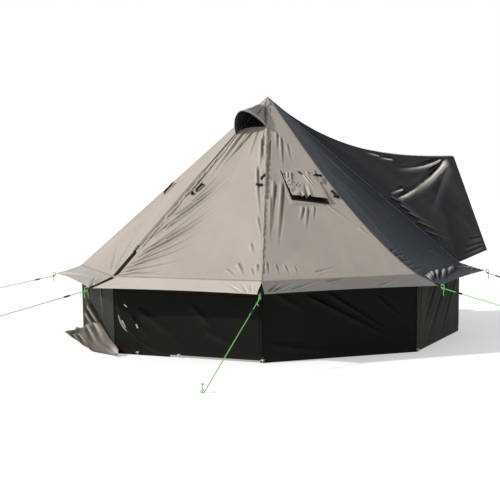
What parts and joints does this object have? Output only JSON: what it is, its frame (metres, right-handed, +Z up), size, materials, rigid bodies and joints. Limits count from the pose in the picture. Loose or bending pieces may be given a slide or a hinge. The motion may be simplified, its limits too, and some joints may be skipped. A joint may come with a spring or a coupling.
{
  "type": "camping awning",
  "caption": "Octagonal single-pole camping awning with a vehicle sleeve, low walls, roof vent hood, covered stove port and guyed eaves.",
  "frame": {"origin": "on the ground at the foot of the centre pole, at the underside of its foot disc", "axes": "+Z up along the pole, +X from the pole along the sleeve towards the vehicle, +Y towards the plain back wall"},
  "size_m": [5.7297, 5.2813, 2.6088],
  "materials": {
    "tan_canvas": "matte woven cloth",
    "charcoal_canvas": "satin coated cloth",
    "wall_canvas": "matte dark olive cloth",
    "coated_sleeve": "glossy coated cloth",
    "hood_canvas": "matte woven cloth",
    "black_webbing": "woven webbing",
    "black_plastic": "moulded, fine texture",
    "black_mesh": "fine insect netting",
    "green_guy_cord": "braided polyester cord",
    "anodised_tube": "satin anodised",
    "zinc_steel": "zinc plated",
    "peg_grey": "moulded",
    "skirt_canvas": "matte woven cloth"
  },
  "bodies": {
    "shelter": {"apex_cap": "hood_canvas", "door_peg_east": "peg_grey", "door_peg_west": "peg_grey", "door_zip": "black_plastic", "eave_tab_ese": "black_webbing", "eave_tab_sse": "black_webbing", "eave_tab_ssw": "black_webbing", "eave_tab_wnw": "black_webbing", "eave_tab_wsw": "black_webbing", "ground_skirt_west": "skirt_canvas", "guy_line_ese": "green_guy_cord", "guy_line_sse": "green_guy_cord", "guy_line_ssw": "green_guy_cord", "guy_line_wnw": "green_guy_cord", "guy_line_wsw": "green_guy_cord", "guy_peg": "peg_grey", "pole_clamp": "black_plastic", "pole_foot": "black_plastic", "pole_lower": "anodised_tube", "roof_panel_north": "tan_canvas", "roof_panel_northeast": "charcoal_canvas", "roof_panel_northwest": "tan_canvas", "roof_panel_south": "tan_canvas", "roof_panel_southeast": "charcoal_canvas", "roof_panel_southwest": "tan_canvas", "roof_panel_west": "tan_canvas", "roof_zip": "black_plastic", "sleeve_hem_tape": "black_webbing", "sleeve_side_north": "coated_sleeve", "sleeve_side_south": "coated_sleeve", "sleeve_top": "coated_sleeve", "stove_port_patch": "black_webbing", "valance_north": "tan_canvas", "valance_northeast": "charcoal_canvas", "valance_northwest": "tan_canvas", "valance_south": "tan_canvas", "valance_southeast": "charcoal_canvas", "valance_southwest": "tan_canvas", "valance_west": "tan_canvas", "vent_hood": "hood_canvas", "vent_mesh": "black_mesh", "wall_back": "wall_canvas", "wall_peg_sse": "peg_grey", "wall_peg_ssw": "peg_grey", "wall_south": "wall_canvas", "wall_southeast": "wall_canvas", "wall_southwest": "wall_canvas", "wall_west": "wall_canvas"},
    "upper_pole": {"pole_upper": "anodised_tube", "pole_top_plug": "black_plastic"},
    "clamp_lever": {"clamp_lever": "zinc_steel"},
    "rain_flap": {"rain_flap": "tan_canvas"},
    "door_leaf": {"door_leaf": "wall_canvas"},
    "door_zip_slider": {"door_zip_slider": "zinc_steel"},
    "roof_zip_slider": {"roof_zip_slider": "zinc_steel"},
    "runner_wnw": {"guy_runner_wnw": "black_plastic"},
    "runner_wsw": {"guy_runner_wsw": "black_plastic"},
    "runner_ssw": {"guy_runner_ssw": "black_plastic"},
    "runner_sse": {"guy_runner_sse": "black_plastic"},
    "runner_ese": {"guy_runner_ese": "black_plastic"}
  },
  "joints": [
    {"name": "pole_slide", "type": "slide", "parent": "shelter", "child": "upper_pole", "axis": [0, 0, 1], "range_m": [-0.95, 0]},
    {"name": "lever_pivot", "type": "hinge", "parent": "shelter", "child": "clamp_lever", "pos_m": [0, 0.03855, 1.337], "axis": [1, 0, 0], "range_deg": [0, 100]},
    {"name": "flap_fold", "type": "hinge", "parent": "shelter", "child": "rain_flap", "pos_m": [0, -0.86288, 1.78938], "axis": [-1, 0, 0], "range_deg": [0, 150]},
    {"name": "door_swing", "type": "hinge", "parent": "shelter", "child": "door_leaf", "pos_m": [-0.81735, -1.91337, 0.0005], "axis": [0.0086, 0.0086, -0.9999], "range_deg": [0, 95]},
    {"name": "door_zip_travel", "type": "hinge", "parent": "shelter", "child": "door_zip_slider", "pos_m": [-1.50401, -1.24945, 0.61535], "axis": [-0.7071, -0.7071, -0.0122], "range_deg": [-28, 55]},
    {"name": "roof_zip_travel", "type": "slide", "parent": "shelter", "child": "roof_zip_slider", "axis": [0.6949, 0.2878, 0.659], "range_m": [-0.29, 1.6]},
    {"name": "runner_slide_wnw", "type": "slide", "parent": "shelter", "child": "runner_wnw", "axis": [-0.9031, 0.3741, -0.2107], "range_m": [-0.14, 0.55]},
    {"name": "runner_slide_wsw", "type": "slide", "parent": "shelter", "child": "runner_wsw", "axis": [-0.9712, -0.0406, -0.2348], "range_m": [-0.14, 0.7]},
    {"name": "runner_slide_ssw", "type": "slide", "parent": "shelter", "child": "runner_ssw", "axis": [-0.5975, -0.6464, -0.4745], "range_m": [-0.16, 1]},
    {"name": "runner_slide_sse", "type": "slide", "parent": "shelter", "child": "runner_sse", "axis": [0.6558, -0.7131, -0.2476], "range_m": [-0.11, 0.48]},
    {"name": "runner_slide_ese", "type": "slide", "parent": "shelter", "child": "runner_ese", "axis": [0.8734, -0.3617, -0.3261], "range_m": [-0.07, 0.14]}
  ]
}
